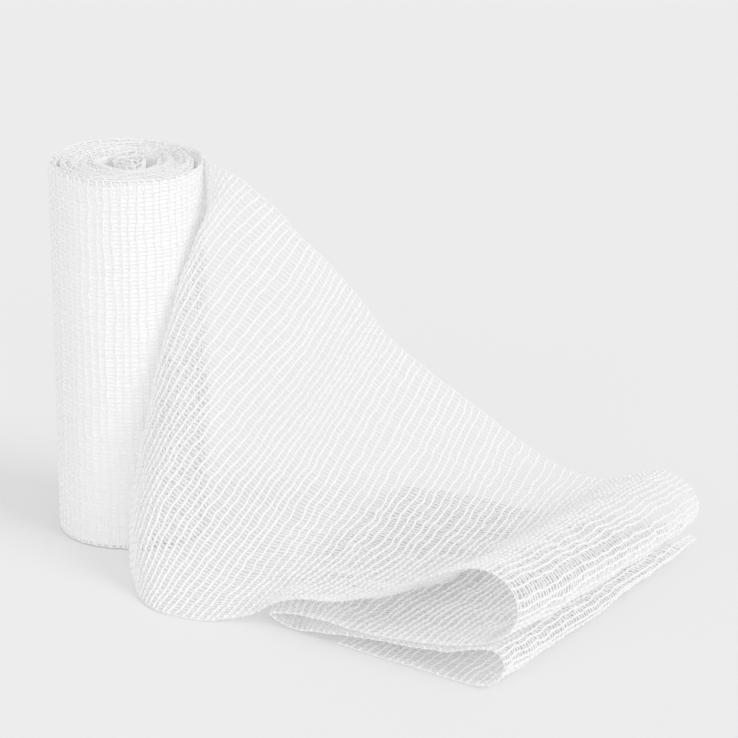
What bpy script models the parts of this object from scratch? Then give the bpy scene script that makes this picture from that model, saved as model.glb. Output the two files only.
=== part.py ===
"""Gauze bandage roll that stands on its end, with its loose end drawn off and folded in a zigzag.

Frame: +Z is up, the roll's axis is the Z axis, and the origin is the middle of its flat bottom face.
The named sizes are in millimetres, and become metres where a mesh is made.
"""
import math

import bpy
import numpy as np

MM = 0.001

# The bandage and its roll
CLOTH_WIDTH = 100.0        # selvedge to selvedge, so also the roll's height
ROLL_RADIUS_TOP = 19.9
ROLL_RADIUS_BASE = 20.1
RIM_ROUNDING = 1.2         # soft edge where the side turns into the two ends
OUT_OF_ROUND = 0.12        # the wound form is pressed a little out of round, in this many millimetres
OUT_OF_ROUND_LOBES = 3

# The turns that show on the roll's top end
TURN_PITCH = 4.4           # from one main twist to the next
TURN_DEPTH = 1.6           # how far the cloth sinks between two twists
CORE_RADIUS = 4.0          # the loose first turns in the middle
CORE_DEPTH = 4.0

# The loose end: one sheet of cloth
SHEET_THICKNESS = 1.0
SHEET_ON_ROLL = 21.0       # least distance from the roll's axis to the middle of the sheet
SHEET_ON_FLOOR = SHEET_THICKNESS / 2
STEP_ALONG = 3.3
STEPS_ACROSS = 12

# Mesh steps of the roll, and the angle between faces from which an edge is drawn sharp
ROLL_SEGMENTS = 48
TOP_RINGS = 18
SIDE_LEVELS = 6
SHARP_FROM = math.radians(50)

# Where the sheet leaves the roll's side: every point of that first section stands above this one
LEAVE_X = 20.65
LEAVE_Y = 3.6

# The loose end's route: one row for each crosswise section, from the roll to the cut end.
# Columns: length of cloth from the roll, then the section's four points (x, y, z):
# rear selvedge, a third of the way across, two thirds of the way across, front selvedge.
SECTIONS = [
    # the sheet follows the roll's side, and its upper half turns away to the right
    (0, (LEAVE_X, LEAVE_Y, 99.5), (LEAVE_X, LEAVE_Y, 66.8),
     (LEAVE_X, LEAVE_Y, 33.5), (LEAVE_X, LEAVE_Y, 0.5)),
    (10, (23, -4, 99.8), (19.9, -7.4, 67.3), (19.6, -7.8, 34), (19.6, -7.8, 0.5)),
    (20, (29.3, -10.7, 98.2), (13.3, -16.6, 68), (12, -17.6, 34), (12.2, -17.5, 0.5)),
    (27, (35.2, -12, 93.6), (11.6, -20.8, 66.5), (6, -21.4, 34), (4.8, -21.2, 0.5)),
    (33, (39.6, -12, 89.3), (16.5, -23.6, 64.3), (4.6, -25.2, 33.8), (1.1, -24.8, 0.5)),
    # it hangs free, turned through a quarter from upright to flat
    (40, (44, -11, 83.5), (24.2, -25.8, 60.8), (7.3, -31.5, 33), (1.2, -32, 0.5)),
    (50, (51, -9.5, 76), (32.7, -26, 54), (11.6, -39, 31), (2.7, -42.5, 0.5)),
    (60, (57, -7, 68.3), (39, -24, 46.3), (19, -41.5, 26), (4.6, -53, 0.5)),
    (72, (62.8, -1.9, 58.8), (45.5, -20, 37), (27.5, -40.5, 17.8), (10.3, -62, 0.5)),
    (84, (68.3, 2.9, 50), (52, -16.5, 28.4), (36, -39.6, 10.8), (20, -67, 0.5)),
    (96, (76.9, 5.9, 41.2), (62, -15.7, 20.5), (47.5, -41.8, 8.8), (32, -69.5, 2.7)),
    (103, (82.5, 5.7, 36.7), (68, -17.5, 17.6), (53.7, -44.6, 8.8), (37.6, -71.2, 6.4)),
    # it lies over the folds and rises to the tall fold at the right
    (110, (88.3, 5.3, 32.4), (74.6, -19.6, 15.1), (60.3, -47.9, 8.6), (42.7, -74, 9)),
    (124, (99.5, 2.4, 24.2), (86.6, -25.7, 11.7), (71.9, -54.7, 8.2), (54.5, -82, 11.9)),
    (137, (112, -2.2, 16.8), (98.1, -31.8, 10.8), (82.5, -60.9, 10.2), (64.5, -89, 16.6)),
    (148, (122.4, -6.9, 14.7), (106.9, -36.5, 13.7), (90.6, -65.4, 15.4), (72.5, -94.5, 22)),
    (159, (131.1, -11.8, 18), (114.7, -40.7, 20), (98, -69.4, 22.2), (80.5, -100, 27)),
    (170, (139.3, -16.8, 20.6), (123.3, -45.8, 23.7), (106.5, -74.5, 25.8), (88.7, -105.5, 30)),
    (179, (145, -20.7, 18.5), (130.8, -50.5, 22.5), (113.9, -79.2, 24.6), (95, -110, 28)),
    # the tall fold, and back to the left underneath
    (185, (147.2, -22.8, 14.4), (134.6, -53, 18.8), (117.6, -82.3, 20.8), (97.5, -111.8, 21.8)),
    (191, (146.3, -22.5, 9.8), (132, -53, 12.5), (115, -82, 14.5), (96, -111, 16.2)),
    (199, (140, -18.5, 7.2), (125, -48, 8.2), (108, -77.5, 9.8), (90.5, -107.5, 11.9)),
    (213, (128.5, -11.5, 6.2), (112, -40.5, 6.3), (95.5, -70, 7), (79, -99.7, 8.4)),
    (238, (103.5, -3, 4.8), (90, -29, 4.8), (75, -56, 5), (58, -84.5, 5.4)),
    (257, (83, 9, 5.2), (67.5, -15, 5.4), (54.5, -42, 5), (45.7, -75, 5.4)),
    # the low fold at the left, and to the right again
    (269, (71, 17, 3.2), (58, -9, 3.2), (46, -38, 3), (37.6, -68.5, 3)),
    (279, (79, 8, 0.9), (65, -15, 0.9), (52, -44, 0.9), (43.6, -73, 0.7)),
    (290, (89, 2, 0.9), (74.5, -24, 1.2), (61, -50.5, 1.8), (51, -79, 2.6)),
    (300, (98, -2, 2.2), (84, -29.5, 2.4), (70.5, -57, 2.8), (57.5, -84, 3.6)),
    (314, (111, -5, 2.6), (97.5, -34, 3), (84, -63, 3.5), (69.7, -92.5, 4.8)),
    (327, (124, -10.5, 3.2), (109.5, -40, 3.8), (95, -70, 4.6), (80, -100.2, 6.8)),
    (338, (134, -15, 4.6), (119.5, -45.3, 5.2), (104.5, -76, 6.8), (88.3, -107, 9.9)),
    (344, (141, -18.5, 5.4), (126, -48, 6.2), (110, -79, 8), (92.4, -110.5, 10.6)),
    # the last fold, and the part on the surface with the cut end
    (350, (147.4, -20.3, 3.3), (131, -47, 3.3), (112.8, -79.2, 4.4), (94.2, -111.5, 7)),
    (356, (142.3, -17.8, 0.7), (126.8, -47.3, 0.7), (109, -78.7, 0.9), (91.3, -109.5, 2.2)),
    (365, (134, -13.5, 0.5), (118.5, -43.5, 0.5), (101, -74, 0.5), (84, -104.5, 0.5)),
    (385, (117, -4, 0.5), (101, -33, 0.5), (84, -62, 0.5), (67, -91.5, 0.5)),
    (402, (103.5, 4, 0.5), (87, -24, 0.5), (70, -53, 0.5), (53.6, -81, 0.5)),
]


def clear_scene():
    for scene_object in list(bpy.data.objects):
        bpy.data.objects.remove(scene_object, do_unlink=True)


def cloth_material(name, colour, roughness):
    material = bpy.data.materials.new(name)
    material.use_nodes = True
    shader = material.node_tree.nodes["Principled BSDF"]
    shader.inputs["Base Color"].default_value = colour
    shader.inputs["Roughness"].default_value = roughness
    shader.inputs["Metallic"].default_value = 0.0
    return material


def add_object(name, points_mm, faces, material):
    mesh = bpy.data.meshes.new(name)
    mesh.from_pydata([tuple(point) for point in np.asarray(points_mm) * MM], [], faces)
    mesh.validate()
    mesh.materials.append(material)
    mesh.shade_smooth()
    mesh.set_sharp_from_angle(angle=SHARP_FROM)
    scene_object = bpy.data.objects.new(name, mesh)
    bpy.context.scene.collection.objects.link(scene_object)
    return scene_object


# ---- the roll ----

def roll_radius(angle, height):
    """Radius of the wound form at an angle and a height: a slight taper and a slight flattening."""
    share = height / CLOTH_WIDTH
    radius = ROLL_RADIUS_BASE + (ROLL_RADIUS_TOP - ROLL_RADIUS_BASE) * share
    return radius + OUT_OF_ROUND * math.cos(OUT_OF_ROUND_LOBES * angle + 2 * share)


def top_height(radius, angle):
    """Height of the top end: a spiral trough between the main twists, and a sunken core."""
    phase = 2 * math.pi * radius / TURN_PITCH + angle
    trough = TURN_DEPTH * (0.5 - 0.5 * math.cos(phase))
    core = CORE_DEPTH * math.exp(-(radius / CORE_RADIUS) ** 2)
    rim = min(1.0, (ROLL_RADIUS_TOP - RIM_ROUNDING - radius) / TURN_PITCH)
    return CLOTH_WIDTH - trough * max(0.0, rim) - core


def build_roll(material):
    angles = [2 * math.pi * step / ROLL_SEGMENTS for step in range(ROLL_SEGMENTS)]
    points = []
    # rings from the base's edge up the side to the top's edge
    quarter = 1 - math.cos(math.pi / 4)
    side_rings = [(0.0, RIM_ROUNDING), (RIM_ROUNDING * quarter, RIM_ROUNDING * quarter)]
    for level in range(SIDE_LEVELS + 1):
        height = RIM_ROUNDING + (CLOTH_WIDTH - 2 * RIM_ROUNDING) * level / SIDE_LEVELS
        side_rings.append((height, 0.0))
    side_rings.append((CLOTH_WIDTH - RIM_ROUNDING * quarter, RIM_ROUNDING * quarter))
    for height, inset in side_rings:
        for angle in angles:
            radius = roll_radius(angle, height) - inset
            points.append((radius * math.cos(angle), radius * math.sin(angle), height))
    # rings of the top end, from its edge inwards
    for ring in range(TOP_RINGS):
        for angle in angles:
            edge = roll_radius(angle, CLOTH_WIDTH) - RIM_ROUNDING
            radius = edge * (1 - ring / TOP_RINGS)
            points.append((radius * math.cos(angle), radius * math.sin(angle), top_height(radius, angle)))
    ring_count = len(side_rings) + TOP_RINGS
    faces = []
    for ring in range(ring_count - 1):
        for step in range(ROLL_SEGMENTS):
            following = (step + 1) % ROLL_SEGMENTS
            low, high = ring * ROLL_SEGMENTS, (ring + 1) * ROLL_SEGMENTS
            faces.append((low + step, low + following, high + following, high + step))
    top_centre = len(points)
    points.append((0.0, 0.0, top_height(0.0, 0.0)))
    base_centre = len(points)
    points.append((0.0, 0.0, 0.0))
    last = (ring_count - 1) * ROLL_SEGMENTS
    for step in range(ROLL_SEGMENTS):
        following = (step + 1) % ROLL_SEGMENTS
        faces.append((last + step, last + following, top_centre))
        faces.append((following, step, base_centre))
    return add_object("roll", points, faces, material)


# ---- the loose end ----

def section_table():
    along = np.array([row[0] for row in SECTIONS], float)
    guides = np.array([row[1:] for row in SECTIONS], float)
    return along, guides


def smooth_between(along, guides, length):
    """The section at a length along the cloth: a smooth curve through the rows of the table."""
    row = int(np.clip(np.searchsorted(along, length, side="right") - 1, 0, len(along) - 2))
    slopes = []
    for at in (row, row + 1):
        before, after = max(at - 1, 0), min(at + 1, len(along) - 1)
        slopes.append((guides[after] - guides[before]) / (along[after] - along[before]))
    span = along[row + 1] - along[row]
    share = (length - along[row]) / span
    start = 2 * share**3 - 3 * share**2 + 1
    section = start * guides[row] + (1 - start) * guides[row + 1]
    section += (share**3 - 2 * share**2 + share) * span * slopes[0]
    return section + (share**3 - share**2) * span * slopes[1]


def across_section(four_points, share):
    """A point of a section, from 0 at the rear selvedge to 1 at the front one: a cubic through its points."""
    stops = [0.0, 1 / 3, 2 / 3, 1.0]
    point = np.zeros(3)
    for index, stop in enumerate(stops):
        weight = 1.0
        for other in stops:
            if other != stop:
                weight *= (share - other) / (stop - other)
        point += weight * four_points[index]
    return point


def keep_clear(point):
    """Move a point of the sheet's middle out of the roll, and up to where it lies on the surface."""
    x, y, z = point
    distance = math.hypot(x, y)
    if distance < SHEET_ON_ROLL:
        x, y = x * SHEET_ON_ROLL / distance, y * SHEET_ON_ROLL / distance
    return np.array((x, y, max(z, SHEET_ON_FLOOR)))


def sheet_middle():
    """The middle surface of the loose end, as rows of points from the roll to the cut end."""
    along, guides = section_table()
    lengths = [along[0]]
    for start, end in zip(along[:-1], along[1:]):
        steps = math.ceil((end - start) / STEP_ALONG)
        lengths.extend(start + (end - start) * (step + 1) / steps for step in range(steps))
    rows = []
    for length in lengths:
        section = smooth_between(along, guides, length)
        shares = [step / STEPS_ACROSS for step in range(STEPS_ACROSS + 1)]
        rows.append([keep_clear(across_section(section, share)) for share in shares])
    return np.array(rows)


def build_loose_end(material):
    middle = sheet_middle()
    forward = np.gradient(middle, axis=0)
    sideways = np.gradient(middle, axis=1)
    normals = np.cross(forward, sideways)
    normals /= np.linalg.norm(normals, axis=2, keepdims=True)
    upper = middle + normals * SHEET_THICKNESS / 2
    lower = middle - normals * SHEET_THICKNESS / 2
    upper[..., 2] = np.maximum(upper[..., 2], 0)
    lower[..., 2] = np.maximum(lower[..., 2], 0)
    rows, columns = middle.shape[:2]
    points = np.concatenate([upper.reshape(-1, 3), lower.reshape(-1, 3)])
    other_side = rows * columns
    faces = []
    for row in range(rows - 1):
        for column in range(columns - 1):
            corner = row * columns + column
            quad = (corner, corner + columns, corner + columns + 1, corner + 1)
            faces.append(quad)
            faces.append(tuple(other_side + index for index in reversed(quad)))
    rim = [column for column in range(columns)]
    rim += [row * columns + columns - 1 for row in range(1, rows)]
    rim += [(rows - 1) * columns + column for column in range(columns - 2, -1, -1)]
    rim += [row * columns for row in range(rows - 2, 0, -1)]
    for here, following in zip(rim, rim[1:] + rim[:1]):
        faces.append((here, following, other_side + following, other_side + here))
    return add_object("loose_end", points, faces, material)


clear_scene()
wound_gauze = cloth_material("wound_gauze", (0.90, 0.90, 0.90, 1.0), 0.85)
loose_gauze = cloth_material("loose_gauze", (0.92, 0.92, 0.92, 1.0), 0.85)
build_roll(wound_gauze)
build_loose_end(loose_gauze)
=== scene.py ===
# %% [markdown]
# # A gauze bandage roll, thread by thread
#
# Gauze is a very open plain weave: thin cotton threads run along the bandage, thicker and softer
# ones run across it, and most of the cloth is holes. A flat sheet with a picture of a weave on it
# would look wrong at every fold, because there the eye sees through two, three or four layers at
# once. So this scene lays real threads. They are set out flat, by their numbers, and a Geometry
# Nodes tree then carries each one onto the curved surface that the cloth follows.
#
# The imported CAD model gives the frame: every piece below stands where its CAD solid stands.

# %% Load the frame
import math

import bpy
import numpy as np
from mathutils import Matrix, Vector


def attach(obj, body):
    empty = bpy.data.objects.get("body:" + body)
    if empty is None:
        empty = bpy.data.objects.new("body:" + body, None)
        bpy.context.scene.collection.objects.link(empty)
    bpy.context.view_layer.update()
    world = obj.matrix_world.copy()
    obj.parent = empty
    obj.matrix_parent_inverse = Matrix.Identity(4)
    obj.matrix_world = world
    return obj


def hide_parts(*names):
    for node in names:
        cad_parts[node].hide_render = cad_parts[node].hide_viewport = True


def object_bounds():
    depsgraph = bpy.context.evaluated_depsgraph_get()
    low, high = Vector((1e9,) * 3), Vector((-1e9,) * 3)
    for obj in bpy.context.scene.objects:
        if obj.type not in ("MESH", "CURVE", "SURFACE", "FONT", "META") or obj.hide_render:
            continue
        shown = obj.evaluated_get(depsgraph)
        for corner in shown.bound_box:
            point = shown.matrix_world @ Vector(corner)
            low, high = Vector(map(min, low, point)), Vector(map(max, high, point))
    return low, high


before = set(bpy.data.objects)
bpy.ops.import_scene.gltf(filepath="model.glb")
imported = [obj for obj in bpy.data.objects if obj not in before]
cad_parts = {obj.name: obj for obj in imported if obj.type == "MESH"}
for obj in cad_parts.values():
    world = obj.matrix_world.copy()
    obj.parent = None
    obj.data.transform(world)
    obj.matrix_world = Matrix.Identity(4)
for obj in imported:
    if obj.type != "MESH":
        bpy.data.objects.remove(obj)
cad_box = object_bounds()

MM = 0.001
sides = [round(side / MM, 1) for side in cad_box[1] - cad_box[0]]
print("frame:", sorted(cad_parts), sides, "mm")

# %% [markdown]
# ## The camera comes first
# The roll's own outline settles it. Its top end is an ellipse a third as high as it is wide, so the
# view looks down at about 19 degrees, and the roll hardly narrows downwards, so the lens is a long
# one.

# %% Camera
CAMERA_PLACE = (62.2, -914.7, 363.2)
CAMERA_LOOKS_DOWN = 19.29  # degrees
CAMERA_LENS = 180.5
SENSOR = 36.0

camera_data = bpy.data.cameras.new("camera")
camera_data.lens = CAMERA_LENS
camera_data.sensor_width = SENSOR
camera = bpy.data.objects.new("camera", camera_data)
camera.location = [value * MM for value in CAMERA_PLACE]
camera.rotation_euler = (math.radians(90 - CAMERA_LOOKS_DOWN), 0, 0)
bpy.context.scene.collection.objects.link(camera)
bpy.context.scene.camera = camera
print("camera:", CAMERA_LENS, "mm lens")

# %% [markdown]
# ## The floor and the light
# The cloth is white on white, so the light is even and very soft. Most of it comes from all round.
# Lamps with hard edges would draw a shadow of every thread. A soft lamp at the front right shapes
# the roll, and a weaker one near the camera reaches what is seen through the holes. A third, low at
# the left, shines into the mouths of the folds. The floor is a shade darker than the cotton, and
# that shade fills the holes.

# %% Floor and lights
FLOOR_COLOUR = (0.85, 0.85, 0.85, 1.0)
FLOOR_HALF = 6.0
FILL_STRENGTH = 0.56
BOUNCES = 12               # white cloth passes light on many times before it is lost
EXPOSURE = 0.10
GAMMA = 1.8                # the photograph is very bright, with its greys lifted close to white

# Each lamp has a strength, and three angles in degrees: its softness, its height above the floor,
# and how far to the right of the camera it stands.
LAMPS = {
    "key": (1.02, 30, 36, 55),
    "front": (0.48, 40, 14, 5),
    "left": (0.25, 40, 12, -38),
}


def principled(name, colour, roughness):
    """A new material with its Principled shader, and the tree they are in."""
    material = bpy.data.materials.new(name)
    material.use_nodes = True
    shader = material.node_tree.nodes["Principled BSDF"]
    shader.inputs["Base Color"].default_value = colour
    shader.inputs["Roughness"].default_value = roughness
    return material, shader, material.node_tree


floor_material, _, _ = principled("floor_paper", FLOOR_COLOUR, 0.9)
floor_mesh = bpy.data.meshes.new("floor")
floor_corners = [(x * FLOOR_HALF, y * FLOOR_HALF, 0)
                 for x, y in ((-1, -1), (1, -1), (1, 1), (-1, 1))]
floor_mesh.from_pydata(floor_corners, [], [(0, 1, 2, 3)])
floor_mesh.materials.append(floor_material)
floor = bpy.data.objects.new("floor", floor_mesh)
bpy.context.scene.collection.objects.link(floor)

for name, (strength, softness, height, side) in LAMPS.items():
    lamp_data = bpy.data.lights.new(name, "SUN")
    lamp_data.energy = strength
    lamp_data.angle = math.radians(softness)
    lamp = bpy.data.objects.new(name, lamp_data)
    lamp.rotation_euler = (math.radians(90 - height), 0, math.radians(side))
    bpy.context.scene.collection.objects.link(lamp)

world = bpy.data.worlds.new("studio")
world.use_nodes = True
world.node_tree.nodes["Background"].inputs["Color"].default_value = (1, 1, 1, 1)
world.node_tree.nodes["Background"].inputs["Strength"].default_value = FILL_STRENGTH
bpy.context.scene.world = world
view = bpy.context.scene.view_settings
view.view_transform = "Standard"
view.exposure = EXPOSURE
view.gamma = GAMMA
bpy.context.scene.cycles.diffuse_bounces = BOUNCES
bpy.context.scene.cycles.max_bounces = BOUNCES
print("lamps:", list(LAMPS), "and a fill of", FILL_STRENGTH)

# %% [markdown]
# ## Where the cloth goes
# The loose end leaves the roll's right side, turns through a quarter as it comes down, and lies in
# a zigzag. Cloth simulation would drop it into folds of its own, not the ones in the photograph, so
# its route is listed. Each row of this table is one crosswise section of it: how much
# cloth lies between it and the roll, and four points of the section from the rear selvedge to the
# front one. It is the same route that the CAD sheet follows, with three rows beside the roll moved
# by a millimetre or two.

# %% The route of the loose end
CLOTH_WIDTH = 100.0
LEAVE = (20.65, 3.6)

# Columns: length of cloth from the roll, then the section's four points (x, y, z) in millimetres:
# rear selvedge, a third of the way across, two thirds of the way across, front selvedge.
SECTIONS = [
    # the sheet follows the roll's side, and its upper half turns away to the right
    (0, (*LEAVE, 99.5), (*LEAVE, 66.8), (*LEAVE, 33.5), (*LEAVE, 0.5)),
    (10, (23, -4, 99.8), (19.9, -7.4, 67.3), (19.6, -7.8, 34), (19.6, -7.8, 0.5)),
    (20, (29.3, -10.7, 98.2), (13.9, -16.2, 68), (12, -17.6, 34), (12.2, -17.5, 0.5)),
    (27, (35.2, -12, 93.6), (13.4, -20.4, 66.5), (6, -21.4, 34), (4.8, -21.2, 0.5)),
    (33, (39.6, -12, 89.3), (17.8, -23.2, 64.3), (4.6, -25.2, 33.8), (1.1, -24.8, 0.5)),
    # it hangs free, turned through a quarter from upright to flat
    (40, (44, -11, 83.5), (24.2, -25.8, 60.8), (7.3, -31.5, 33), (1.2, -32, 0.5)),
    (50, (51, -9.5, 76), (32.7, -26, 54), (11.6, -39, 31), (2.7, -42.5, 0.5)),
    (60, (57, -7, 68.3), (39, -24, 46.3), (19, -41.5, 26), (4.6, -53, 0.5)),
    (72, (62.8, -1.9, 58.8), (45.5, -20, 37), (27.5, -40.5, 17.8), (10.3, -62, 0.5)),
    (84, (68.3, 2.9, 50), (52, -16.5, 28.4), (36, -39.6, 10.8), (20, -67, 0.5)),
    (96, (76.9, 5.9, 41.2), (62, -15.7, 20.5), (47.5, -41.8, 8.8), (32, -69.5, 2.7)),
    (103, (82.5, 5.7, 36.7), (68, -17.5, 17.6), (53.7, -44.6, 8.8), (37.6, -71.2, 6.4)),
    # it lies over the folds and rises to the tall fold at the right
    (110, (88.3, 5.3, 32.4), (74.6, -19.6, 15.1), (60.3, -47.9, 8.6), (42.7, -74, 9)),
    (124, (99.5, 2.4, 24.2), (86.6, -25.7, 11.7), (71.9, -54.7, 8.2), (54.5, -82, 11.9)),
    (137, (112, -2.2, 16.8), (98.1, -31.8, 10.8), (82.5, -60.9, 10.2), (64.5, -89, 16.6)),
    (148, (122.4, -6.9, 14.7), (106.9, -36.5, 13.7), (90.6, -65.4, 15.4), (72.5, -94.5, 22)),
    (159, (131.1, -11.8, 18), (114.7, -40.7, 20), (98, -69.4, 22.2), (80.5, -100, 27)),
    (170, (139.3, -16.8, 20.6), (123.3, -45.8, 23.7), (106.5, -74.5, 25.8), (88.7, -105.5, 30)),
    (179, (145, -20.7, 18.5), (130.8, -50.5, 22.5), (113.9, -79.2, 24.6), (95, -110, 28)),
    # the tall fold, and back to the left underneath
    (185, (147.2, -22.8, 14.4), (134.6, -53, 18.8), (117.6, -82.3, 20.8), (97.5, -111.8, 21.8)),
    (191, (146.3, -22.5, 9.8), (132, -53, 12.5), (115, -82, 14.5), (96, -111, 16.2)),
    (199, (140, -18.5, 7.2), (125, -48, 8.2), (108, -77.5, 9.8), (90.5, -107.5, 11.9)),
    (213, (128.5, -11.5, 6.2), (112, -40.5, 6.3), (95.5, -70, 7), (79, -99.7, 8.4)),
    (238, (103.5, -3, 4.8), (90, -29, 4.8), (75, -56, 5), (58, -84.5, 5.4)),
    (257, (83, 9, 5.2), (67.5, -15, 5.4), (54.5, -42, 5), (45.7, -75, 5.4)),
    # the low fold at the left, and to the right again
    (269, (71, 17, 3.2), (58, -9, 3.2), (46, -38, 3), (37.6, -68.5, 3)),
    (279, (79, 8, 0.9), (65, -15, 0.9), (52, -44, 0.9), (43.6, -73, 0.7)),
    (290, (89, 2, 0.9), (74.5, -24, 1.2), (61, -50.5, 1.8), (51, -79, 2.6)),
    (300, (98, -2, 2.2), (84, -29.5, 2.4), (70.5, -57, 2.8), (57.5, -84, 3.6)),
    (314, (111, -5, 2.6), (97.5, -34, 3), (84, -63, 3.5), (69.7, -92.5, 4.8)),
    (327, (124, -10.5, 3.2), (109.5, -40, 3.8), (95, -70, 4.6), (80, -100.2, 6.8)),
    (338, (134, -15, 4.6), (119.5, -45.3, 5.2), (104.5, -76, 6.8), (88.3, -107, 9.9)),
    (344, (141, -18.5, 5.4), (126, -48, 6.2), (110, -79, 8), (92.4, -110.5, 10.6)),
    # the last fold, and the part on the surface with the cut end
    (350, (147.4, -20.3, 3.3), (131, -47, 3.3), (112.8, -79.2, 4.4), (94.2, -111.5, 7)),
    (356, (142.3, -17.8, 0.7), (126.8, -47.3, 0.7), (109, -78.7, 0.9), (91.3, -109.5, 2.2)),
    (365, (134, -13.5, 0.5), (118.5, -43.5, 0.5), (101, -74, 0.5), (84, -104.5, 0.5)),
    (385, (117, -4, 0.5), (101, -33, 0.5), (84, -62, 0.5), (67, -91.5, 0.5)),
    (402, (103.5, 4, 0.5), (87, -24, 0.5), (70, -53, 0.5), (53.6, -81, 0.5)),
]
LOOSE_LENGTH = float(SECTIONS[-1][0])

# %% [markdown]
# A smooth curve through the rows gives the section at any length, and a cubic through a section's
# four points gives any place across it. The threads lie closer to the roll than the thick CAD sheet
# can, so near the roll's side the points are drawn in.

# %% From the table to a surface
ROLL_RADIUS = 20.0
CAD_SHEET_RADIUS = 21.0    # where the CAD sheet's middle lies on the roll
DRAWN_IN_WITHIN = 6.0      # points up to this far outside the CAD sheet are drawn in a little
THREAD_HEIGHT = 0.45       # the middle of the weave above the surface that it lies on

along_stops = np.array([row[0] for row in SECTIONS], float)
section_points = np.array([row[1:] for row in SECTIONS], float)


def section_at(length):
    """The four guide points of the section at a length along the loose end."""
    row = np.searchsorted(along_stops, length, side="right") - 1
    row = int(np.clip(row, 0, len(along_stops) - 2))
    slopes = []
    for at in (row, row + 1):
        before, after = max(at - 1, 0), min(at + 1, len(along_stops) - 1)
        rise = section_points[after] - section_points[before]
        slopes.append(rise / (along_stops[after] - along_stops[before]))
    span = along_stops[row + 1] - along_stops[row]
    share = (length - along_stops[row]) / span
    start = 2 * share**3 - 3 * share**2 + 1
    section = start * section_points[row] + (1 - start) * section_points[row + 1]
    section += (share**3 - 2 * share**2 + share) * span * slopes[0]
    return section + (share**3 - share**2) * span * slopes[1]


def across(section, share):
    """A point of a section, from 0 at the rear selvedge to 1 at the front one."""
    stops = (0.0, 1 / 3, 2 / 3, 1.0)
    point = np.zeros(3)
    for index, stop in enumerate(stops):
        others = [other for other in stops if other != stop]
        point += section[index] * math.prod((share - other) / (stop - other) for other in others)
    return point


def laid_on(point):
    """Draw a point in towards the roll's side, and keep it above the floor."""
    x, y, z = point
    distance = max(math.hypot(x, y), CAD_SHEET_RADIUS)
    outside = min((distance - CAD_SHEET_RADIUS) / DRAWN_IN_WITHIN, 1.0)
    nearer = distance - (CAD_SHEET_RADIUS - ROLL_RADIUS) * (1 - outside) ** 2
    grow = nearer / math.hypot(x, y)
    return np.array((x * grow, y * grow, max(z, THREAD_HEIGHT)))


# %% [markdown]
# ## The last turn on the roll
# The loose end is the end of the outermost turn. Followed backwards, the same cloth goes round the
# roll, anticlockwise from above and a little further in as it goes, so the threads run on from the
# loose end round the roll without a seam. Both are written as a rule that gives a point for any
# length and any share of the width, and `surface` turns such a rule into a guide mesh.

# %% The rule for the outermost turn
TURN_STEP = 0.50           # how much further out each turn lies
THREAD_TURNS = 1           # turns made of threads: what lies under this one is the wound body
LEAVE_ANGLE = math.atan2(LEAVE[1], LEAVE[0])
WOUND_LENGTH = THREAD_TURNS * 2 * math.pi * ROLL_RADIUS
SWELL = 0.14               # the roll is a little thicker at some places than at others
# Two waves run round it. Each has its number round the roll, how it slants up the side, its share.
SWELL_WAVES = ((3, 0.02, 1.0), (5, -0.035, 0.6))


def swollen(angle, height):
    """How much thicker the roll is at a place on its side."""
    return SWELL * sum(share * math.cos(count * angle + slant * height)
                       for count, slant, share in SWELL_WAVES)


def on_roll(radius, angle, height):
    """A point given by its distance from the roll's axis, its angle round it and its height."""
    x, y = radius * math.cos(angle), radius * math.sin(angle)
    return np.array((x, y, max(height, THREAD_HEIGHT)))


def wound_point(length, share):
    """A point of the outermost turn. The length is counted back from where the loose end leaves."""
    turned = length / ROLL_RADIUS
    angle = LEAVE_ANGLE + turned
    height = CLOTH_WIDTH * (1 - share)
    radius = ROLL_RADIUS - TURN_STEP * turned / (2 * math.pi)
    radius += swollen(angle, height) * min(1.0, turned)
    return on_roll(radius, angle, height)


print(f"{WOUND_LENGTH:.0f} mm of cloth in the outermost turn")

# %% From a rule to a guide mesh
def surface(name, place, length, steps_along, shares_across):
    """A guide mesh: a grid of points, with a UV map that says where each is on the flat cloth."""
    shares_along = np.linspace(0, 1, steps_along + 1)
    columns = len(shares_across)
    points = np.array([[place(share * length, other) for other in shares_across]
                       for share in shares_along])
    normals = np.cross(np.gradient(points, axis=0), np.gradient(points, axis=1))
    normals /= np.linalg.norm(normals, axis=2, keepdims=True)
    faces, flat_places = [], []
    for row in range(steps_along):
        for column in range(columns - 1):
            for down, right in ((0, 0), (1, 0), (1, 1), (0, 1)):
                flat_places.append((shares_along[row + down], shares_across[column + right]))
            first = row * columns + column
            faces.append((first, first + columns, first + columns + 1, first + 1))
    mesh = bpy.data.meshes.new(name)
    mesh.from_pydata((points.reshape(-1, 3) * MM).tolist(), [], faces)
    mesh.uv_layers.new(name="cloth").uv.foreach_set("vector", np.array(flat_places).ravel())
    facing = mesh.attributes.new("facing", "FLOAT_VECTOR", "POINT")
    facing.data.foreach_set("vector", normals.ravel())
    guide = bpy.data.objects.new(name, mesh)
    bpy.context.scene.collection.objects.link(guide)
    print(name, len(points), "x", columns, "points")
    return guide


def loose_point(length, share):
    """A point of the loose end."""
    return laid_on(across(section_at(length), share))


loose_guide = surface("loose_guide", loose_point, LOOSE_LENGTH, 402, np.linspace(0, 1, 41))
wound_guide = surface("wound_guide", wound_point, WOUND_LENGTH, 120, np.linspace(0, 1, 21))
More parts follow.
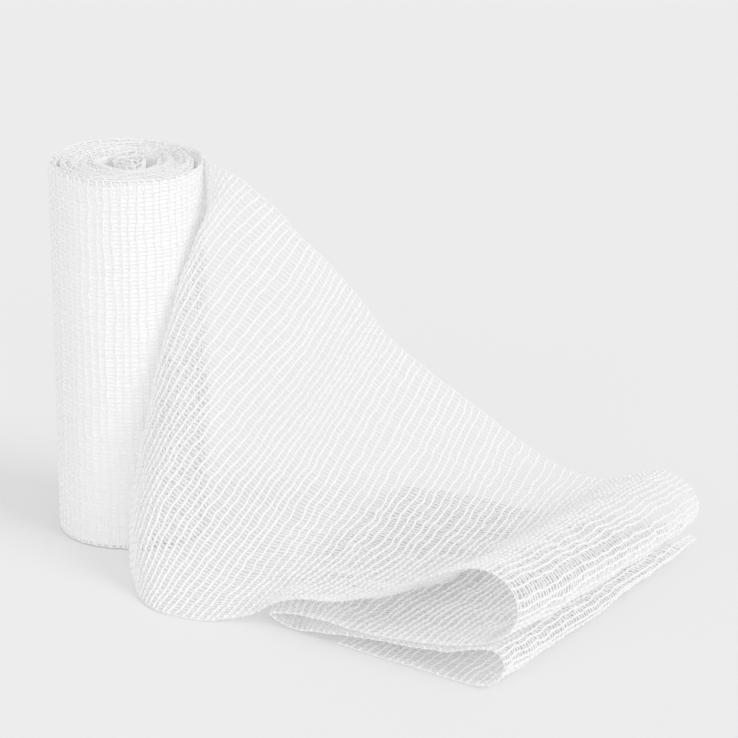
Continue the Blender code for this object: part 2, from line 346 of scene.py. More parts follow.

# %% [markdown]
# ## The wound body
# Under that turn the cloth goes on inwards, more than twenty turns of it, and ends in a crumpled
# heap in the middle with a hollow on either side. A stack of separate rings would be simpler, but
# on the roll's top the eye follows one line inwards. So one route describes all of it: first a
# spiral, then a short path through listed points. The body is a little narrower from left to right
# than the turn around it, which leaves the dark crescents that show between them on the roll's top.

# %% The body's route
BODY_RADIUS = 19.82        # the outermost turn of the body
HOLLOW_RADIUS = 8.3        # the innermost whole turn
BODY_SLACK = 1.7           # how far the body stands off at the left and right
SLACK_AFTER = 2.72         # the number of turns that stay with the threads around them
SLACK_DEPTH = 6.0          # how deep the turns still feel that, in millimetres of radius
SPIRAL_LENGTH = math.pi * (BODY_RADIUS**2 - HOLLOW_RADIUS**2) / TURN_STEP

# No turn is quite round, and no edge quite level. Each wave below has its size in millimetres, and
# how fast it runs with the measures that its comment names.
TURN_WAVES = ((0.13, 4, 0.9, 0), (0.10, 7, -1.2, 0.03))      # angle, radius, height
EDGE_WAVES = ((0.35, 2.3, 1.7, 0), (0.30, 0, 0, 0.9))        # angle, radius, angle turned in all
EDGE_SINKS = 0.2           # the top edges lie this much below the roll's own top
WAVES_SET_IN = 2.0         # the millimetres of radius over which the turns lose their roundness


def wave_sum(waves, *measures):
    """Add up sine waves, each with its size and how fast it runs with each measure."""
    return sum(size * math.sin(sum(rate * measure for rate, measure in zip(rates, measures)))
               for size, *rates in waves)


def body_point(length, share):
    """A point of the spiral, from its outer end at length 0 inwards."""
    per_millimetre = 2 * math.pi / TURN_STEP
    radius = math.sqrt(BODY_RADIUS**2 - TURN_STEP * length / math.pi)
    turned = per_millimetre * (BODY_RADIUS - radius)
    angle = LEAVE_ANGLE + turned
    height = CLOTH_WIDTH * (1 - share)
    depth = BODY_RADIUS - radius
    feels = max(0.0, 1 - depth / SLACK_DEPTH) if turned > SLACK_AFTER * 2 * math.pi else 0.0
    slack = BODY_SLACK * feels * math.cos(angle) ** 2
    wave = wave_sum(TURN_WAVES, angle, radius, height) * min(1.0, depth / WAVES_SET_IN)
    radius += swollen(angle, height) + wave - slack
    if share < 0.5:
        height += wave_sum(EDGE_WAVES, angle, radius, turned) - EDGE_SINKS
    return on_roll(radius, angle, height)


print(f"{SPIRAL_LENGTH:.0f} mm of cloth in the spiral")

# %% The crumpled inner end
# In plan, in millimetres from the roll's axis, x to the right and y to the back.
INNER_END = [
    (4.0, 6.9), (1.4, 7.6), (-1.4, 6.9), (-3.0, 5.0), (-3.4, 2.4), (-2.6, -0.6), (-1.0, -3.3),
    (1.6, -4.9), (4.0, -3.6), (4.7, -0.8), (4.5, 2.2), (3.0, 4.7), (0.6, 5.2), (-1.5, 3.4),
    (-1.5, 0.8), (0.2, -1.6), (2.4, -1.8), (3.0, 0.6), (1.9, 2.8), (0.4, 2.0),
]
INNER_LENGTH = sum(math.dist(one, other) for one, other in zip(INNER_END, INNER_END[1:]))
CRUMPLES = ((0.25, 0.33, 9),)                      # height, share of the way in
INNER_EDGE_WAVES = ((0.7, 17, 0), (0.4, 41, 1))    # share of the way in, a fixed start
INNER_EDGE_SINKS = 0.3
CRUMPLES_SET_IN = 0.25     # the share of the way over which the crumples grow


def smooth_path(stops, share):
    """A point on a smooth curve through plan points, from share 0 at the first to 1 at the last."""
    place = share * (len(stops) - 1)
    index = min(int(place), len(stops) - 2)
    part = place - index
    before, start, end, after = (np.array(stops[min(max(index + step, 0), len(stops) - 1)])
                                 for step in (-1, 0, 1, 2))
    return 0.5 * (2 * start + (end - before) * part
                  + (2 * before - 5 * start + 4 * end - after) * part**2
                  + (3 * start - before - 3 * end + after) * part**3)


def inner_point(length, share):
    """A point of the crumpled inner end, which waves more the further in it is."""
    along = length / INNER_LENGTH
    x, y = smooth_path(INNER_END, along)
    height = CLOTH_WIDTH * (1 - share)
    crumple = wave_sum(CRUMPLES, height, along) * min(1.0, along / CRUMPLES_SET_IN)
    if share < 0.5:
        height += wave_sum(INNER_EDGE_WAVES, along, 1) - INNER_EDGE_SINKS
    return np.array((x + crumple, y + 0.5 * crumple, max(height, THREAD_HEIGHT)))


# the places across are close together near the two edges, where the single threads lie
BAND_SHARES = (0.0, 0.01, 0.02, 0.03, 0.05, 0.1, 0.3, 0.5, 0.7, 0.9, 0.97, 0.98, 0.99, 1.0)
body_guide = surface("body_guide", body_point, SPIRAL_LENGTH, 1400, BAND_SHARES)
inner_guide = surface("inner_guide", inner_point, INNER_LENGTH, 120, BAND_SHARES)
print(f"{INNER_LENGTH:.0f} mm of cloth in the inner end")

# %% [markdown]
# ## Threads by Geometry Nodes
# The loose end alone has about 17,000 crossings, so its threads follow rules and aren't placed one
# by one. One tree lays threads of either kind. It starts with straight lines in a plain grid, where
# a place is a pair of numbers: which crosswise thread, and which lengthwise thread. Noise makes the
# spacing uneven and the threads wavy. It depends on the two numbers only, so both kinds of thread
# bend alike and still cross where they should. Then each point looks up its place on the guide
# surface by that surface's UV map, and steps up or down to pass over one thread and under the next.
#
# A tree has many nodes that differ in little, so a few short helpers come first.

# %% Small helpers for node trees
def feed(tree, socket, value):
    """Join an output to an input, or set the input to a plain value."""
    if isinstance(value, bpy.types.NodeSocket):
        tree.links.new(value, socket)
    else:
        socket.default_value = value


def node(tree, kind, inputs=(), **settings):
    """Add a node. inputs is a dict of socket names, or a list in the sockets' order."""
    made = tree.nodes.new(kind)
    for name, value in settings.items():
        setattr(made, name, value)
    pairs = inputs.items() if isinstance(inputs, dict) else enumerate(inputs)
    for which, value in pairs:
        feed(tree, made.inputs[which], value)
    return made


def calc(tree, operation, *values):
    """One sum. A value is a number, or the output of another node."""
    return node(tree, "ShaderNodeMath", values, operation=operation).outputs[0]


def vector(tree, x=0.0, y=0.0, z=0.0):
    """Three numbers as a vector."""
    return node(tree, "ShaderNodeCombineXYZ", (x, y, z)).outputs[0]


def noise(tree, x, y, detail=1.0):
    """Smooth noise at a place given by two numbers. Blender's own stays near 0.5, so it is spread
    out here, to run from about -1 to 1."""
    place = vector(tree, x, y)
    made = node(tree, "ShaderNodeTexNoise", {"Vector": place, "Scale": 1.0, "Detail": detail})
    return calc(tree, "MULTIPLY_ADD", made.outputs[0], 4.0, -2.0)


def kept_above(tree, place, lowest):
    """The same place in space, or one straight above it that is at least so many millimetres up."""
    parts = node(tree, "ShaderNodeSeparateXYZ", (place,)).outputs
    return vector(tree, parts[0], parts[1], calc(tree, "MAXIMUM", parts[2], lowest * MM))


def new_tree(name, sockets):
    """A geometry tree with named inputs, given as {name: (kind, start value)}."""
    tree = bpy.data.node_groups.new(name, "GeometryNodeTree")
    tree.interface.new_socket("Geometry", in_out="INPUT", socket_type="NodeSocketGeometry")
    tree.interface.new_socket("Geometry", in_out="OUTPUT", socket_type="NodeSocketGeometry")
    for label, (kind, value) in sockets.items():
        socket = tree.interface.new_socket(label, in_out="INPUT", socket_type="NodeSocket" + kind)
        if value is not None:
            socket.default_value = value
    group_input = tree.nodes.new("NodeGroupInput")
    return tree, group_input.outputs


def run_tree(tree, guide, name, **values):
    """Run a tree on a copy of a guide, and keep the result as a plain mesh in a new object."""
    carrier = guide.copy()
    bpy.context.scene.collection.objects.link(carrier)
    modifier = carrier.modifiers.new("nodes", "NODES")
    modifier.node_group = tree
    labels = {item.name: item.identifier for item in tree.interface.items_tree
              if item.in_out == "INPUT"}
    for label, value in values.items():
        modifier[labels[label.replace("_", " ")]] = value
    bpy.context.view_layer.update()
    evaluated = carrier.evaluated_get(bpy.context.evaluated_depsgraph_get())
    mesh = bpy.data.meshes.new_from_object(evaluated)
    mesh.name = name
    bpy.data.objects.remove(carrier, do_unlink=True)
    piece = bpy.data.objects.new(name, mesh)
    bpy.context.scene.collection.objects.link(piece)
    mesh.calc_loop_triangles()
    print(f"{name}: {len(mesh.loop_triangles):,} triangles")
    return piece


print("helpers: feed, node, calc, vector, noise, kept_above, new_tree, run_tree")

# %% [markdown]
# The numbers come from counting the threads: 92 lengthwise ones in the bandage's 100 mm, and a
# crosswise one about every 2.2 mm.

# %% Sizes of the weave
WARPS = 92                 # lengthwise threads
WARP_THICK = 0.36
WEFT_PITCH = 2.2           # from one crosswise thread to the next
WEFT_THICK = 0.70
WOUND_WEFT_THICK = 0.58    # crosswise threads are pressed flatter on the roll
WARP_PITCH = CLOTH_WIDTH / (WARPS - 1)
CRIMP = 0.16               # how far a thread rises or dips at a crossing
EDGE = 0.0005              # threads stop this share of the cloth short of the guide's edge
LOWEST_THREAD = 0.42       # the middle of a thread is never nearer to the floor than this
print(f"{WARPS} lengthwise threads {WARP_PITCH:.2f} mm apart, crosswise ones {WEFT_PITCH} mm apart")

# %% [markdown]
# Handled gauze is never even. Some crosswise threads have slid together, groups of them bend the
# same way, and the lengthwise ones wander. Each of these is a noise of its own, slow or quick along
# and across the cloth.

# %% Unevenness
# Each noise has how fast it changes from one crosswise thread to the next, how fast from one
# lengthwise thread to the next, where in the noise it starts, and its detail.
NOISES = {
    "spacing": (0.57, 0.012, 0.0, 1.0),      # whole crosswise threads lie closer or further apart
    "long kinks": (0.16, 0.07, 40.0, 2.0),   # bends that a group of crosswise threads share
    "short kinks": (0.31, 0.24, 140.0, 1.0),
    "drift": (0.21, 0.45, 90.0, 1.0),        # lengthwise threads wander sideways
    "swell": (0.13, 0.09, 250.0, 1.0),       # the cloth doesn't lie flat
    "bulge": (0.9, 0.55, 0.0, 2.0),          # a thread is thicker here and thinner there
}
SHORT_KINKS = 0.7          # how strong the short kinks are beside the long ones
DRIFT = 0.32               # how far a lengthwise thread wanders, in millimetres
BULGE = 0.3                # how much a thread's thickness changes, as a share of it
KINKS_AT_ROLL = 0.35       # the kinks' share of their full strength where the cloth leaves the roll
KINKS_GROW = 0.016         # how much that share grows with each crosswise thread


def uneven(tree, kind, weft_number, warp_number):
    """One of the noises, at a point of the weave."""
    along_rate, across_rate, start, detail = NOISES[kind]
    return noise(tree, calc(tree, "MULTIPLY_ADD", weft_number, along_rate, start),
                 calc(tree, "MULTIPLY", warp_number, across_rate), detail)


# %% [markdown]
# The next part of the tree turns a pair of thread numbers into a place in space. Sample UV Surface
# does the work that a Curve or a Surface Deform modifier would do for a whole mesh, but it needs no
# second object later and is exact at the folds.

# %% A point of the weave in space
def place_on_cloth(tree, inputs, weft_number, warp_number, height):
    """The place in space of a point of the weave, from its two thread numbers."""
    def noise_of(kind):
        return uneven(tree, kind, weft_number, warp_number)

    each_thread = calc(tree, "MULTIPLY", noise_of("spacing"), inputs["Uneven"])
    short_kinks = calc(tree, "MULTIPLY", noise_of("short kinks"), SHORT_KINKS)
    kinks = calc(tree, "ADD", noise_of("long kinks"), short_kinks)
    from_roll = calc(tree, "ABSOLUTE", weft_number)
    growing = calc(tree, "MULTIPLY_ADD", from_roll, KINKS_GROW, KINKS_AT_ROLL)
    growing = calc(tree, "MINIMUM", growing, 1.0)
    kinks = calc(tree, "MULTIPLY", kinks, calc(tree, "MULTIPLY", growing, inputs["Ripple"]))
    moved = calc(tree, "ADD", kinks, each_thread)
    along = calc(tree, "MULTIPLY_ADD", weft_number, WEFT_PITCH, moved)
    drift = calc(tree, "MULTIPLY", noise_of("drift"), DRIFT)
    width = calc(tree, "MULTIPLY_ADD", warp_number, WARP_PITCH, drift)
    height = calc(tree, "MULTIPLY_ADD", noise_of("swell"), inputs["Swell"], height)

    # the flat place as two shares of the guide surface, kept just inside its edges
    towards_end = calc(tree, "MULTIPLY", along, inputs["Direction"])
    shares = []
    for share in (calc(tree, "DIVIDE", towards_end, inputs["Length"]),
                  calc(tree, "DIVIDE", width, CLOTH_WIDTH)):
        shares.append(node(tree, "ShaderNodeClamp", (share, EDGE, 1 - EDGE)).outputs[0])
    where = vector(tree, *shares)

    # the guide's own place there, and the way it faces
    cloth, facing = (node(tree, "GeometryNodeInputNamedAttribute", (name,),
                          data_type="FLOAT_VECTOR").outputs[0] for name in ("cloth", "facing"))
    position = node(tree, "GeometryNodeInputPosition").outputs[0]
    found = []
    for value in (position, facing):
        lookup = node(tree, "GeometryNodeSampleUVSurface",
                      {"Mesh": inputs["Geometry"], "UV Map": cloth, "Sample UV": where},
                      data_type="FLOAT_VECTOR")
        feed(tree, lookup.inputs["Value"], value)
        found.append(lookup.outputs["Value"])
    step = node(tree, "ShaderNodeVectorMath",
                {"Vector": found[1], "Scale": calc(tree, "MULTIPLY", height, MM)},
                operation="SCALE").outputs[0]
    placed = node(tree, "ShaderNodeVectorMath", (found[0], step), operation="ADD").outputs[0]
    return kept_above(tree, placed, LOWEST_THREAD)


# %% [markdown]
# A thread is a line swept with a small ring. The ring has only three or four sides, because a
# thread is about two pixels wide in the photograph and there are hundreds of them.

# %% Lines, then tubes
def straight_lines(tree, inputs, crosswise):
    """All the crosswise lines, or all the lengthwise ones, on the plain grid of thread numbers."""
    count_less_one = calc(tree, "SUBTRACT", inputs["Count"], 1.0)
    if crosswise:
        warps_less_one = calc(tree, "SUBTRACT", inputs["Warps"], 1.0)
        last_warp = calc(tree, "ADD", inputs["First Warp"], warps_less_one)
        ends = vector(tree, 0.0, inputs["First Warp"]), vector(tree, 0.0, last_warp)
        points_on_line = inputs["Warps"]
        row = {"Count": inputs["Count"], "Start Location": vector(tree, inputs["First"]),
               "Offset": (1, 0, 0)}
    else:
        last = calc(tree, "ADD", inputs["First"], count_less_one)
        ends = vector(tree, inputs["First"]), vector(tree, last)
        points_on_line = calc(tree, "MULTIPLY_ADD", count_less_one, inputs["Steps"], 1.0)
        row = {"Count": inputs["Warps"], "Start Location": vector(tree, 0.0, inputs["First Warp"]),
               "Offset": (0, 1, 0)}
    line = node(tree, "GeometryNodeCurvePrimitiveLine", ends)
    line = node(tree, "GeometryNodeResampleCurve",
                {"Curve": line.outputs[0], "Count": points_on_line})
    starts = node(tree, "GeometryNodeMeshLine", row)
    copies = node(tree, "GeometryNodeInstanceOnPoints",
                  {"Points": starts.outputs[0], "Instance": line.outputs[0]})
    return node(tree, "GeometryNodeRealizeInstances", (copies.outputs[0],)).outputs[0]


def threads(tree, inputs, crosswise):
    """Add the nodes that lay all the crosswise threads, or all the lengthwise ones."""
    # the two thread numbers are kept before the points move, because the thickness needs them too
    flat = node(tree, "GeometryNodeCaptureAttribute", (straight_lines(tree, inputs, crosswise),))
    flat.capture_items.new("VECTOR", "numbers")
    feed(tree, flat.inputs[1], node(tree, "GeometryNodeInputPosition").outputs[0])
    numbers = node(tree, "ShaderNodeSeparateXYZ", (flat.outputs[1],))
    weft_number, warp_number = numbers.outputs[0], numbers.outputs[1]

    # the product of the two cosines is 1 and -1 by turns, like the squares of a chessboard
    signs = [calc(tree, "COSINE", calc(tree, "MULTIPLY", number, math.pi))
             for number in (weft_number, warp_number)]
    chessboard = calc(tree, "MULTIPLY", *signs)
    height = calc(tree, "MULTIPLY", chessboard, CRIMP if crosswise else -CRIMP)
    place = place_on_cloth(tree, inputs, weft_number, warp_number, height)
    laid = node(tree, "GeometryNodeSetPosition", {"Geometry": flat.outputs[0], "Position": place})
    bulge = calc(tree, "MULTIPLY_ADD", uneven(tree, "bulge", weft_number, warp_number), BULGE, 1.0)
    thick = inputs["Weft Thick"] if crosswise else inputs["Warp Thick"]
    radius = calc(tree, "MULTIPLY", bulge, calc(tree, "MULTIPLY", thick, 0.5 * MM))

    # how far along the thread a point is, and which way it faces around it, for the yarn's twist
    along = node(tree, "GeometryNodeCaptureAttribute", (laid.outputs[0],))
    along.capture_items.new("FLOAT", "length")
    feed(tree, along.inputs[1], node(tree, "GeometryNodeSplineParameter").outputs["Length"])
    sides = inputs["Weft Sides"] if crosswise else inputs["Warp Sides"]
    ring = node(tree, "GeometryNodeCurvePrimitiveCircle", {"Resolution": sides, "Radius": 1.0})
    around = node(tree, "GeometryNodeCaptureAttribute", (ring.outputs[0],))
    around.capture_items.new("VECTOR", "around")
    feed(tree, around.inputs[1], node(tree, "GeometryNodeInputPosition").outputs[0])
    tube = node(tree, "GeometryNodeCurveToMesh", {
        "Curve": along.outputs[0], "Profile Curve": around.outputs[0], "Scale": radius,
        "Fill Caps": True})
    facing = node(tree, "ShaderNodeSeparateXYZ", (around.outputs[1],))
    yarn = vector(tree, along.outputs[1], facing.outputs[0], facing.outputs[1])
    return node(tree, "GeometryNodeStoreNamedAttribute",
                {"Geometry": tube.outputs[0], "Name": "yarn", "Value": yarn},
                data_type="FLOAT_VECTOR", domain="POINT").outputs[0]


# %% The whole weave
def finish_tree(tree, inputs, geometry):
    """End a tree: smooth shading, real geometry and no instances, and the material."""
    smooth = node(tree, "GeometryNodeSetShadeSmooth", {"Geometry": geometry})
    real = node(tree, "GeometryNodeRealizeInstances", (smooth.outputs[0],))
    finish = node(tree, "GeometryNodeSetMaterial",
                  {"Geometry": real.outputs[0], "Material": inputs["Material"]})
    node(tree, "NodeGroupOutput", (finish.outputs[0],))


def weave_tree():
    """The tree that lays both kinds of thread on a guide surface."""
    tree, inputs = new_tree("weave", {
        "Length": ("Float", LOOSE_LENGTH), "Direction": ("Float", 1.0),
        "First": ("Float", 0.0), "Count": ("Int", 10), "Steps": ("Int", 1),
        "First Warp": ("Float", 0.0), "Warps": ("Int", WARPS),
        "Weft Thick": ("Float", WEFT_THICK), "Weft Sides": ("Int", 4),
        "Warp Thick": ("Float", WARP_THICK), "Warp Sides": ("Int", 3),
        "Uneven": ("Float", 0.5), "Ripple": ("Float", 0.6), "Swell": ("Float", 0.0),
        "Material": ("Material", None)})
    both = node(tree, "GeometryNodeJoinGeometry")
    for crosswise in (True, False):
        tree.links.new(threads(tree, inputs, crosswise), both.inputs[0])
    finish_tree(tree, inputs, both.outputs[0])
    return tree


weave = weave_tree()
print("weave tree:", len(weave.nodes), "nodes")

# %% [markdown]
# ## Cotton yarn
# A cotton thread is matt and almost white, with a soft twist. An image of yarn would have to be
# laid along every thread, so the twist is worked out instead. The tree kept, for every point of a
# thread, how far along the thread it is and which way it faces around it. From those two the
# material finds the spiral of the twist, and noise in the piece's own space adds an odd dull place.

# %% The yarn material
STRANDS = 2.0              # strands that are twisted together
FIBRE_SCALE = 2600.0       # noise fine enough for single fibres
CLOUD_SCALE = 90.0         # noise about a centimetre wide, for duller places


def darker(colour, share):
    """A colour at a share of its brightness."""
    return tuple(channel * share for channel in colour[:3]) + (1.0,)


def space_noise(tree, coords, scale, detail):
    """Noise in the piece's own space."""
    return node(tree, "ShaderNodeTexNoise",
                {"Vector": coords, "Scale": scale, "Detail": detail}).outputs[0]


def yarn_material(name, colour, twist_pitch, twist_depth):
    """Matt twisted yarn. The pitch and depth of the twist are in millimetres."""
    material, shader, tree = principled(name, colour, 0.88)
    shader.inputs["Sheen Weight"].default_value = 0.25
    shader.inputs["Sheen Roughness"].default_value = 0.6
    shader.inputs["Specular IOR Level"].default_value = 0.25
    yarn = node(tree, "ShaderNodeAttribute", attribute_name="yarn")
    parts = node(tree, "ShaderNodeSeparateXYZ", (yarn.outputs["Vector"],))
    angle = calc(tree, "ARCTAN2", parts.outputs[2], parts.outputs[1])
    turns = calc(tree, "MULTIPLY", parts.outputs[0], 2 * math.pi / (twist_pitch * MM))
    phase = calc(tree, "ADD", turns, calc(tree, "MULTIPLY", angle, STRANDS))
    coords = node(tree, "ShaderNodeTexCoord").outputs["Object"]
    fibres = space_noise(tree, coords, FIBRE_SCALE, 2.0)
    height = calc(tree, "MULTIPLY_ADD", calc(tree, "SINE", phase), 0.5, fibres)
    bump = node(tree, "ShaderNodeBump",
                {"Strength": 0.5, "Distance": twist_depth * MM, "Height": height})
    tree.links.new(bump.outputs[0], shader.inputs["Normal"])
    cloud = space_noise(tree, coords, CLOUD_SCALE, 3.0)
    tint = node(tree, "ShaderNodeMixRGB", (cloud, darker(colour, 0.96), colour))
    tree.links.new(tint.outputs[0], shader.inputs["Base Color"])
    return material


COTTON_WHITE = (0.97, 0.97, 0.97, 1.0)
cotton = yarn_material("cotton_yarn", COTTON_WHITE, twist_pitch=1.1, twist_depth=0.03)
print("material:", cotton.name)

# %% [markdown]
# ## The loose end
# It is one length of cloth, but one mesh of all its threads would be very heavy. It is made as two
# pieces that meet at a crosswise thread: the part that hangs and lies on top, and the part that is
# folded underneath. Both are laid on the same guide, so the join doesn't show.

# %% Threads of the loose end
WEFTS = round(LOOSE_LENGTH / WEFT_PITCH)
UPPER_WEFTS = WEFTS // 2
LOOSE_SWELL = 0.5          # how far the loose cloth lies off its guide, in millimetres
look = {"Weft_Thick": WEFT_THICK, "Warp_Thick": WARP_THICK, "Weft_Sides": 4, "Warp_Sides": 3,
        "Uneven": 0.5, "Ripple": 0.6, "Material": cotton}
loose = {**look, "Length": LOOSE_LENGTH, "Steps": 2, "Swell": LOOSE_SWELL}
loose_upper = run_tree(weave, loose_guide, "loose_upper", First=0.0, Count=UPPER_WEFTS + 1, **loose)
loose_folded = run_tree(weave, loose_guide, "loose_folded", First=float(UPPER_WEFTS),
                        Count=WEFTS - UPPER_WEFTS, **loose)

# %% [markdown]
# ## The turn that shows on the roll's side
# The roll's side could be a smooth wall with a woven bump on it, but at its outline and where the
# light rakes over it the eye sees single threads. So the outermost turn is laid by the same tree.
# Its crosswise threads are numbered backwards from the loose end's first one.

# %% Threads of the outermost turn
wound_count = int(WOUND_LENGTH / WEFT_PITCH)
outer_turns = run_tree(weave, wound_guide, "outer_turns", Length=WOUND_LENGTH, Direction=-1.0,
                       First=float(-wound_count), Count=wound_count + 1, Steps=1,
                       **{**look, "Weft_Thick": WOUND_WEFT_THICK})

# %% [markdown]
# ## The deeper turns
# Of the deeper turns only the edges show clearly, at the roll's two ends. Elsewhere they are a
# white ground behind the holes of the outermost turn, and threads all over them would make millions
# of faces that nobody sees. So the same tree lays the few threads nearest each selvedge, and
# between the ends the turns are plain ribbons, made from the guide surface by giving it a
# thickness, with the weave as a fine relief in their material and painted shade between its
# threads.

# %% Threads at the edges of the deeper turns
EDGE_WARPS = 4
edge_pieces = []
for name, guide, length in (("body", body_guide, SPIRAL_LENGTH),
                            ("inner", inner_guide, INNER_LENGTH)):
    for end, first_warp in (("top", 0.0), ("bottom", float(WARPS - EDGE_WARPS))):
        edge_pieces.append(run_tree(
            weave, guide, f"{name}_{end}_edge", Length=length, First=1.0,
            Count=int(length / WEFT_PITCH) - 1, Steps=1, First_Warp=first_warp, Warps=EDGE_WARPS,
            **look))

# %% The deeper turns as ribbons
RIBBON_NOISE_SCALE = 700.0 # an unevenness about a millimetre and a half long
MERGE_WITHIN = 0.01        # points closer than this, in millimetres, become one


def ribbon_tree():
    """Thicken a guide surface to a closed ribbon, a little narrower than the cloth."""
    tree, inputs = new_tree("ribbon", {
        "Thickness": ("Float", 0.4), "Recess": ("Float", 1.0), "Rough": ("Float", 0.3),
        "Material": ("Material", None)})
    # heights are scaled about the middle of the roll, so both edges draw back by the recess
    place = node(tree, "ShaderNodeSeparateXYZ",
                 (node(tree, "GeometryNodeInputPosition").outputs[0],))
    half_width = 0.5 * CLOTH_WIDTH
    middle = half_width * MM
    scale = calc(tree, "SUBTRACT", 1.0, calc(tree, "DIVIDE", inputs["Recess"], half_width))
    height = calc(tree, "SUBTRACT", place.outputs[2], middle)
    height = calc(tree, "MULTIPLY_ADD", height, scale, middle)
    bumps = node(tree, "ShaderNodeTexNoise", {"Scale": RIBBON_NOISE_SCALE, "Detail": 2.0})
    bumps = calc(tree, "SUBTRACT", bumps.outputs[0], 0.5)
    rough = calc(tree, "MULTIPLY", inputs["Rough"], MM)
    height = calc(tree, "ADD", height, calc(tree, "MULTIPLY", bumps, rough))
    shorter = node(tree, "GeometryNodeSetPosition", {
        "Geometry": inputs["Geometry"],
        "Position": vector(tree, place.outputs[0], place.outputs[1], height)})

    # one side is the guide moved by the thickness, the other the guide with its faces flipped
    thick = node(tree, "GeometryNodeExtrudeMesh", {
        "Mesh": shorter.outputs[0], "Individual": False,
        "Offset Scale": calc(tree, "MULTIPLY", inputs["Thickness"], MM)})
    back = node(tree, "GeometryNodeFlipFaces", (shorter.outputs[0],))
    both = node(tree, "GeometryNodeJoinGeometry")
    for part in (thick, back):
        tree.links.new(part.outputs[0], both.inputs[0])
    closed = node(tree, "GeometryNodeMergeByDistance",
                  {"Geometry": both.outputs[0], "Distance": MERGE_WITHIN * MM})
    finish_tree(tree, inputs, closed.outputs[0])
    return tree


ribbon = ribbon_tree()
print("ribbon tree:", len(ribbon.nodes), "nodes")

# %% The ribbons' material
RELIEF_DEPTH = 0.15        # millimetres
WANDER = 6.0               # how far the relief's threads stray, in radians of their pattern
WANDER_SCALE = 160.0       # noise about six millimetres wide
RELIEF_FIBRE_SCALE = 2400.0


def wound_material(name, colour):
    """Cloth seen as a surface: a relief of crossing threads, laid out by the cloth's own UV map,
    with painted shade that darkens the colour between them.
    """
    material, shader, tree = principled(name, colour, 0.9)
    shader.inputs["Sheen Weight"].default_value = 0.25
    place = node(tree, "ShaderNodeSeparateXYZ",
                 (node(tree, "ShaderNodeUVMap", uv_map="cloth").outputs[0],))
    coords = node(tree, "ShaderNodeTexCoord").outputs["Object"]
    wander = calc(tree, "MULTIPLY", space_noise(tree, coords, WANDER_SCALE, 2.0), WANDER)
    ridges = []
    for share, count in zip(place.outputs, (SPIRAL_LENGTH / WEFT_PITCH, WARPS)):
        phase = calc(tree, "MULTIPLY_ADD", share, 2 * math.pi * count, wander)
        ridges.append(calc(tree, "COSINE", phase))
    relief = calc(tree, "MAXIMUM", *ridges)
    fibres = space_noise(tree, coords, RELIEF_FIBRE_SCALE, 2.0)
    height = calc(tree, "MULTIPLY_ADD", relief, 0.5, fibres)
    bump = node(tree, "ShaderNodeBump",
                {"Strength": 0.6, "Distance": RELIEF_DEPTH * MM, "Height": height})
    tree.links.new(bump.outputs[0], shader.inputs["Normal"])
    # painted shade: the colour is darker between the relief's ridges, where the deeper cloth lies
    # in shade
    painted_shade = calc(tree, "MULTIPLY_ADD", relief, 0.5, 0.5)
    tint = node(tree, "ShaderNodeMixRGB", (painted_shade, darker(colour, 0.93), colour))
    tree.links.new(tint.outputs[0], shader.inputs["Base Color"])
    return material


wound_cotton = wound_material("wound_cotton", COTTON_WHITE)
wound_turns = run_tree(ribbon, body_guide, "wound_turns", Thickness=0.34, Recess=0.4, Rough=0.9,
                       Material=wound_cotton)
inner_end = run_tree(ribbon, inner_guide, "inner_end", Thickness=0.6, Recess=0.7, Rough=1.6,
                     Material=wound_cotton)

# %% [markdown]
# ## Stray fibres
# Cotton yarn is hairy, and that haze softens every outline. A hair system would need its own render
# settings and wouldn't become part of the meshes. A last tree scatters short, bent fibres over the
# threads that are already there, each turned its own way by a fixed seed.

# %% A tree for fibres
FIBRE_END = (1.0, 0.35, 0.0)         # where a fibre ends, as shares of its length
FIBRE_BEND = (0.55, -0.25, 0.2)      # what pulls its middle to one side
FLOOR_GAP = 0.05                     # fibres stop this far above the floor


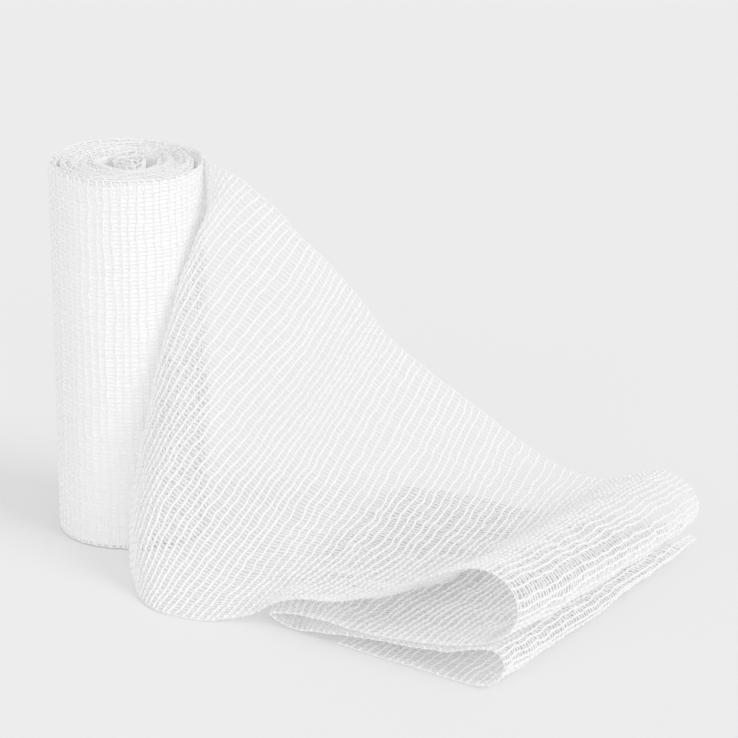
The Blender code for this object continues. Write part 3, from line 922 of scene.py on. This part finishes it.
def fuzz_tree():
    """Scatter bent fibres over the faces of a piece."""
    tree, inputs = new_tree("fuzz", {
        "Density": ("Float", 1e5), "Fibre": ("Float", 1.0), "Thick": ("Float", 0.06),
        "Seed": ("Int", 1), "Material": ("Material", None)})
    size = calc(tree, "MULTIPLY", inputs["Fibre"], MM)
    end, bend = (vector(tree, *(calc(tree, "MULTIPLY", size, share) for share in shares))
                 for shares in (FIBRE_END, FIBRE_BEND))
    line = node(tree, "GeometryNodeCurveQuadraticBezier",
                {"Resolution": 3, "Start": (0, 0, 0), "Middle": bend, "End": end})
    ring = node(tree, "GeometryNodeCurvePrimitiveCircle", {"Resolution": 3, "Radius": 0.5 * MM})
    fibre = node(tree, "GeometryNodeCurveToMesh", {
        "Curve": line.outputs[0], "Profile Curve": ring.outputs[0], "Scale": inputs["Thick"]})
    spots = node(tree, "GeometryNodeDistributePointsOnFaces",
                 {"Mesh": inputs["Geometry"], "Seed": inputs["Seed"]})
    for socket in spots.inputs:
        if socket.name == "Density" and socket.enabled:
            feed(tree, socket, inputs["Density"])
    turn = node(tree, "FunctionNodeRandomValue", data_type="FLOAT_VECTOR")
    feed(tree, turn.inputs[0], (-math.pi,) * 3)
    feed(tree, turn.inputs[1], (math.pi,) * 3)
    copies = node(tree, "GeometryNodeInstanceOnPoints", {
        "Points": spots.outputs[0], "Instance": fibre.outputs[0], "Rotation": turn.outputs[0]})
    real = node(tree, "GeometryNodeRealizeInstances", (copies.outputs[0],))
    above = kept_above(tree, node(tree, "GeometryNodeInputPosition").outputs[0], FLOOR_GAP)
    raised = node(tree, "GeometryNodeSetPosition", {"Geometry": real.outputs[0], "Position": above})
    finish = node(tree, "GeometryNodeSetMaterial",
                  {"Geometry": raised.outputs[0], "Material": inputs["Material"]})
    node(tree, "NodeGroupOutput", (finish.outputs[0],))
    return tree


fuzz = fuzz_tree()
print("fibre tree:", len(fuzz.nodes), "nodes")

# %% Fibres on the pieces
# Each row has a piece, how many fibres stand on a square metre of its threads, and its slot.
HAIRY = (
    (outer_turns, 1.2e5, "wound_gauze"),
    (edge_pieces[0], 5e5, "wound_gauze"),
    (loose_upper, 9e4, "loose_gauze"),
    (loose_folded, 9e4, "loose_gauze"),
)
fuzz_pieces = []
for seed, (source, density, slot) in enumerate(HAIRY, start=1):
    piece = run_tree(fuzz, source, source.name + "_fuzz", Density=density, Fibre=1.1, Thick=0.05,
                     Seed=seed, Material=cotton)
    fuzz_pieces.append((piece, slot))

# %% [markdown]
# ## Which body each piece belongs to
# Nothing on this part moves by itself, so every piece rides on the one body. The threads replace
# the two plain CAD solids. The loose end is a sheet whose flat width is the roll's height and whose
# length is the route's own. The guides have done their work and go.

# %% Riding on the body
for guide in (loose_guide, wound_guide, body_guide, inner_guide):
    bpy.data.objects.remove(guide, do_unlink=True)

UPPER_LENGTH = UPPER_WEFTS * WEFT_PITCH
for piece, length in ((loose_upper, UPPER_LENGTH), (loose_folded, LOOSE_LENGTH - UPPER_LENGTH)):
    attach(piece, "root")
    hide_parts("loose_end")
for piece in (outer_turns, *edge_pieces, wound_turns, inner_end):
    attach(piece, "root")
    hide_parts("roll")
for piece, slot in fuzz_pieces:
    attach(piece, "root")
